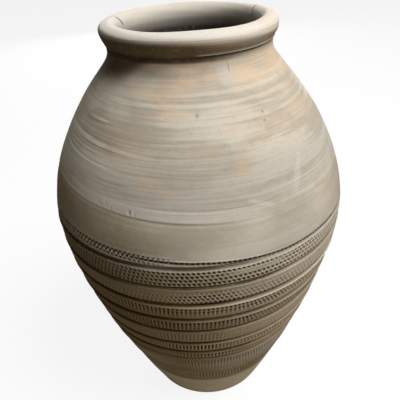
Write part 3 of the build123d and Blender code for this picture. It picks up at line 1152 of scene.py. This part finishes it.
class JAR_OT_bands(Operator):
    """Stamped courses, parted by finger grooves"""

    bl_idname = "jar.bands"
    bl_label = "Stamped bands"

    def execute(self, context):
        jar = jar_now()
        for place, name in enumerate(BANDS):
            columns = STAMPS[name].count * STAMP_COLUMNS
            near = partial(Face.add_bands, names=BANDS[max(place - 1, 0):place + 2])
            course(jar, name, Face.add_foot_step, near, columns=columns, rows=32, lines=0.6)
        return {"FINISHED"}


class JAR_OT_belly(Operator):
    """Two smooth courses at the widest place, with dashes below and the seam above"""

    bl_idname = "jar.belly"
    bl_label = "Belly"

    def execute(self, context):
        jar = jar_now()
        groove = partial(Face.add_groove, name=TOP_BAND)
        columns = DASHES * STAMP_COLUMNS
        course(jar, "belly_course_lower", groove, Face.add_dashes, columns=columns, rows=40, lines=0.35)
        course(jar, "belly_course_upper", Face.add_seam, columns=FINE_COLUMNS, rows=64, lines=0.4)
        return {"FINISHED"}


class JAR_OT_shoulder(Operator):
    """Smooth shoulder courses with turning lines"""

    bl_idname = "jar.shoulder"
    bl_label = "Shoulder"

    def execute(self, context):
        jar = jar_now()
        for name in jar.shoulders:
            columns = FINE_COLUMNS if name == jar.shoulders[0] else COLUMNS
            course(jar, name, Face.add_seam, columns=columns, rows=40, lines=1.0)
        return {"FINISHED"}


def along_curve(places, curve):
    """Points of a curve at counts of its points, whole or between."""
    return np.stack([np.interp(places, np.arange(len(curve)), column) for column in curve.T], -1)


class RimSection:
    """The section of neck and rim: inner face up the throat to the mouth, and where the lap joint lies."""

    def __init__(self, jar):
        sizes = jar.sizes
        self.jar = jar
        neck_in = np.stack(jar.into_wall(jar.heights[jar.heights <= jar.neck], sizes.wall), -1)
        throat = easy_bend(neck_in[-1], (sizes.mouth_radius, jar.crown - sizes.mouth_drop))
        self.inner = np.concatenate([neck_in, throat[1:]])
        self.joint = jar.tops["neck_collar"]
        radius, height = self.inner.T
        drop = self.joint - sizes.lap_slope * (radius - sizes.neck_radius) - height
        high = height > jar.tops["shoulder_course_04"]
        self.lap = np.interp(0, -drop[high], np.flatnonzero(high))

    def collar(self, low_height, rows):
        """Inner face of the collar from the lap joint down to its lower joint."""
        low = np.interp(low_height, self.jar.heights, np.arange(len(self.jar.heights)))
        return along_curve(np.linspace(self.lap, low, rows), self.inner)

    def roll(self, rows):
        """The rim from the outer edge of the lap, over the crown, to the inner edge, and the distance gone.

        A flare up to the lip, a quarter of an oval over to the crown, one down to the mouth, and the throat.
        """
        jar, sizes = self.jar, self.jar.sizes
        heights = np.linspace(self.joint, jar.lip, 60)
        flare = np.stack([jar.radius(heights), heights], -1)
        across, up = np.cos(np.linspace(0, np.pi / 2, 60)[1:]), np.sin(np.linspace(0, np.pi / 2, 60)[1:])
        wide, narrow = sizes.lip_radius - sizes.crown_radius, sizes.crown_radius - sizes.mouth_radius
        lip = np.stack([sizes.crown_radius + wide * across, jar.lip + sizes.lip_drop * up], -1)
        mouth = np.stack([sizes.crown_radius - narrow * up, jar.crown - sizes.mouth_drop * (1 - across)], -1)
        throat = self.inner[:int(np.ceil(self.lap)) - 1:-1]
        path = np.concatenate([flare, lip, mouth, throat[1:], along_curve([self.lap], self.inner)])
        far = np.concatenate([[0], np.cumsum(np.hypot(*np.diff(path, axis=0).T))])
        places = np.linspace(0, far[-1], rows)
        return np.stack([np.interp(places, far, column) for column in path.T], -1), places[:, None]


class JAR_OT_neck(Operator):
    """Course with the drawn-in neck"""

    bl_idname = "jar.neck"
    bl_label = "Neck"

    def execute(self, context):
        jar = jar_now()
        around = angles(COLUMNS)
        ones = np.ones_like(around)
        low, high = jar.tops[jar.shoulders[-1]], jar.tops["neck_collar"]
        face = Face(jar, around, low + (high - low) * np.linspace(0, 1, 36)[:, None] * ones)
        face.add_lines(strength=0.7)
        lap = step_up(face.right, 2, 6) * (1 - step_up(face.right, 80, 130))
        # A shallow dent under the lapped rim, darkened with dirt and painted shade
        face.press(hump(face.height - high + 0.0022, 0.0036) * lap, 0.0009, 0.75)
        outer, outer_top = outer_side(face)
        radius, height = (column[:, None] * ones for column in RimSection(jar).collar(low, 12).T)
        top = straight_side(outer_top, (radius[0], height[0]), 3)
        bottom = straight_side((radius[-1], height[-1]), (outer.radius[0], outer.height[0]), 2)
        sides = [outer, top, plain_side(radius[:-1], height[:-1]), bottom]
        dress(ring("neck_collar_clay", around, sides), "neck_collar")
        return {"FINISHED"}


class JAR_OT_rim(Operator):
    """Rolled rim, laid on in two lengths that meet at two splices"""

    bl_idname = "jar.rim"
    bl_label = "Rim"

    # Unevenness of the roll, height and length of its turning lines, and half width of a crack
    swell, lines, line_length, crack_width = 0.0006, 0.00012, 0.0052, 0.0044

    def execute(self, context):
        jar = jar_now()
        first, second = jar.sizes.splice_start, jar.sizes.splice_end
        self.build(jar, "rim_roll_back", first, second)
        self.build(jar, "rim_roll_front", second, first + TURN)
        return {"FINISHED"}

    def cracks(self, jar, path, around):
        """Slanting cracks at the splices, inside the crown: how open they are at each place."""
        radius, height = path[:, :1], path[:, 1:]
        total = np.zeros(np.broadcast(height, around).shape)
        for splice, reach, deep in ((jar.sizes.splice_start, 0.165, 0.6), (jar.sizes.splice_end, 0.157, 1.0)):
            turned = (around - splice + np.pi) % TURN - np.pi
            slant = (height - 0.988) * 3.4
            crack = deep * hump((turned - slant) * 0.155, self.crack_width) * step_up(height, 0.975, 0.983)
            total = np.maximum(total, crack * step_up(-radius, -reach - 0.003, -reach + 0.003))
        return total

    def build(self, jar, name, start, end):
        """One length of the rim: its section, moved out square by the relief, from splice to splice."""
        path, far = RimSection(jar).roll(84)
        around = np.linspace(start, end, int(round((end - start) / TURN * RIM_COLUMNS)) + 1)[None, :]
        along = np.gradient(path, axis=0)
        out = np.stack([along[:, 1], -along[:, 0]], -1) / np.hypot(*along.T)[:, None]
        right = right_of_front(around)
        relief = self.swell * (sway(around, far, 53, 7, 0.06) - 1.9)
        relief = relief + self.lines * np.cos(TURN * far / self.line_length + sway(around, far, 57, 5, 0.1))
        lap = step_up(right, 2, 6) * (1 - step_up(right, 118, 150)) + 0.35 * step_up(np.abs(right), 160, 175)
        relief = relief + jar.marks.lap * lap * (bell(far, 0.0022) - 0.5 * bell(far - 0.0055, 0.003))
        hollow = self.cracks(jar, path, around)
        relief = relief - jar.marks.nick * hollow
        relief = relief * (1 - step_up(far, far[-1] - 0.030, far[-1] - 0.002))
        radius, height = path[:, :1] + out[:, :1] * relief, path[:, 1:] + out[:, 1:] * relief
        # The lapped edge is painted pale as wear and painted highlight
        ridge = bell(far - 0.0004, 0.0016) * lap * 0.55
        over = Side(radius[:-1], height[:-1], hollow[:-1], ridge[:-1])
        joint = straight_side((radius[-1], height[-1]), (radius[0], height[0]), 3)
        dress(ring(f"{name}_clay", around, [over, joint], whole=False), name)


# Stage


def stand(scene, data, place, turn):
    """Put a camera or lamp in the scene at a place and with a turn."""
    item = bpy.data.objects.new(data.name, data)
    item.matrix_world = Matrix.Translation(place) @ turn.to_matrix().to_4x4()
    scene.collection.objects.link(item)
    return item


class JAR_OT_stage(Operator):
    """Camera, lamps, sky and floor"""

    bl_idname = "jar.stage"
    bl_label = "Stage"

    def execute(self, context):
        scene = context.scene
        self.camera(scene, scene.jar_stage)
        self.lamps(scene, scene.jar_stage)
        self.sky(scene, scene.jar_stage)
        self.floor(scene, scene.jar_stage)
        scene.view_settings.view_transform = "Standard"
        return {"FINISHED"}

    def camera(self, scene, stage):
        """Camera rolled about its line of sight, tilted down from level and turned to the right."""
        roll = Quaternion((0, 0, 1), -stage.camera_roll)
        pitch = Quaternion((1, 0, 0), np.pi / 2 - stage.camera_pitch)
        yaw = Quaternion((0, 0, 1), -stage.camera_yaw)
        data = bpy.data.cameras.new("camera")
        data.sensor_width = 36
        data.lens = stage.lens
        scene.camera = stand(scene, data, stage.camera_place, yaw @ pitch @ roll)

    def lamps(self, scene, stage):
        """A large soft lamp above and to the right, and weak ones in front and behind, all facing the jar."""
        for name, way, power in (
            ("lamp", Vector(stage.lamp_way), stage.lamp_power),
            ("fill", Vector(stage.fill_way), stage.fill_power),
            ("back", Vector(stage.back_way), stage.back_power),
        ):
            data = bpy.data.lights.new(name, "AREA")
            data.shape = "DISK"
            data.size = stage.lamp_size
            data.energy = power
            place = Vector((0, 0, CAD_HIGH.z / 2)) + way.normalized() * stage.lamp_distance
            stand(scene, data, place, way.to_track_quat("Z", "Y"))

    def sky(self, scene, stage):
        """A weak even sky that the camera sees as white."""
        scene.world = bpy.data.worlds.new("sky")
        scene.world.use_nodes = True
        tree = scene.world.node_tree
        background = tree.nodes["Background"]
        background.inputs["Color"].default_value = (1, 1, 1, 1)
        path = Wire(tree).node("ShaderNodeLightPath")
        seen = path.sum("MAXIMUM", path, Wire(tree, path.socket.node.outputs["Is Glossy Ray"]))
        (stage.sky + seen * (1 - stage.sky)).into(background, "Strength")

    def floor(self, scene, stage):
        """A wide flat floor, pale to the camera, that takes the shadow and sends little light back up."""
        half = stage.floor_size / 2
        corners = [(-half, -half, 0), (half, -half, 0), (half, half, 0), (-half, half, 0)]
        mesh = bpy.data.meshes.new("floor")
        mesh.from_pydata(corners, [], [(0, 1, 2, 3)])
        floor = bpy.data.objects.new("floor", mesh)
        scene.collection.objects.link(floor)
        material = bpy.data.materials.new("floor")
        material.use_nodes = True
        shader = material.node_tree.nodes["Principled BSDF"]
        for name, value in (("Roughness", 1.0), ("Specular IOR Level", 0.0), ("Emission Strength", 1.0)):
            shader.inputs[name].default_value = value
        path = Wire(material.node_tree).node("ShaderNodeLightPath")
        path.blend(stage.floor_bounce, stage.floor_tone).into(shader, "Base Color")
        path.blend((0, 0, 0), stage.floor_glow).into(shader, "Emission Color")
        mesh.materials.append(material)


class JAR_PT_panel(Panel):
    """Lists the jar's pieces and settings in the sidebar"""

    bl_label = "Stamped storage jar"
    bl_idname = "JAR_PT_panel"
    bl_space_type = "VIEW_3D"
    bl_region_type = "UI"
    bl_category = "Jar"

    def draw(self, context):
        for operator in OPERATORS:
            self.layout.operator(operator.bl_idname)
        for group in GROUPS:
            box = self.layout.box()
            settings = getattr(context.scene, group)
            for key in settings.bl_rna.properties.keys():
                if key not in ("rna_type", "name"):
                    box.prop(settings, key)


GROUPS = {"jar_sizes": JarSizes, "jar_marks": JarMarks, "jar_colours": JarColours, "jar_stage": JarStage}
OPERATORS = (
    JAR_OT_base,
    JAR_OT_foot,
    JAR_OT_bands,
    JAR_OT_belly,
    JAR_OT_shoulder,
    JAR_OT_neck,
    JAR_OT_rim,
    JAR_OT_stage,
)


def register():
    """Add the classes and the scene's settings."""
    for kind in (*GROUPS.values(), *OPERATORS, JAR_PT_panel):
        bpy.utils.register_class(kind)
    for name, kind in GROUPS.items():
        setattr(bpy.types.Scene, name, PointerProperty(type=kind))


def unregister():
    """Take the classes and the scene's settings away."""
    for name in GROUPS:
        delattr(bpy.types.Scene, name)
    for kind in reversed((*GROUPS.values(), *OPERATORS, JAR_PT_panel)):
        bpy.utils.unregister_class(kind)


def main():
    """Build the pieces and the stage."""
    register()
    bpy.ops.jar.base()
    bpy.ops.jar.foot()
    bpy.ops.jar.bands()
    bpy.ops.jar.belly()
    bpy.ops.jar.shoulder()
    bpy.ops.jar.neck()
    bpy.ops.jar.rim()
    bpy.ops.jar.stage()


if __name__ == "__main__":
    main()
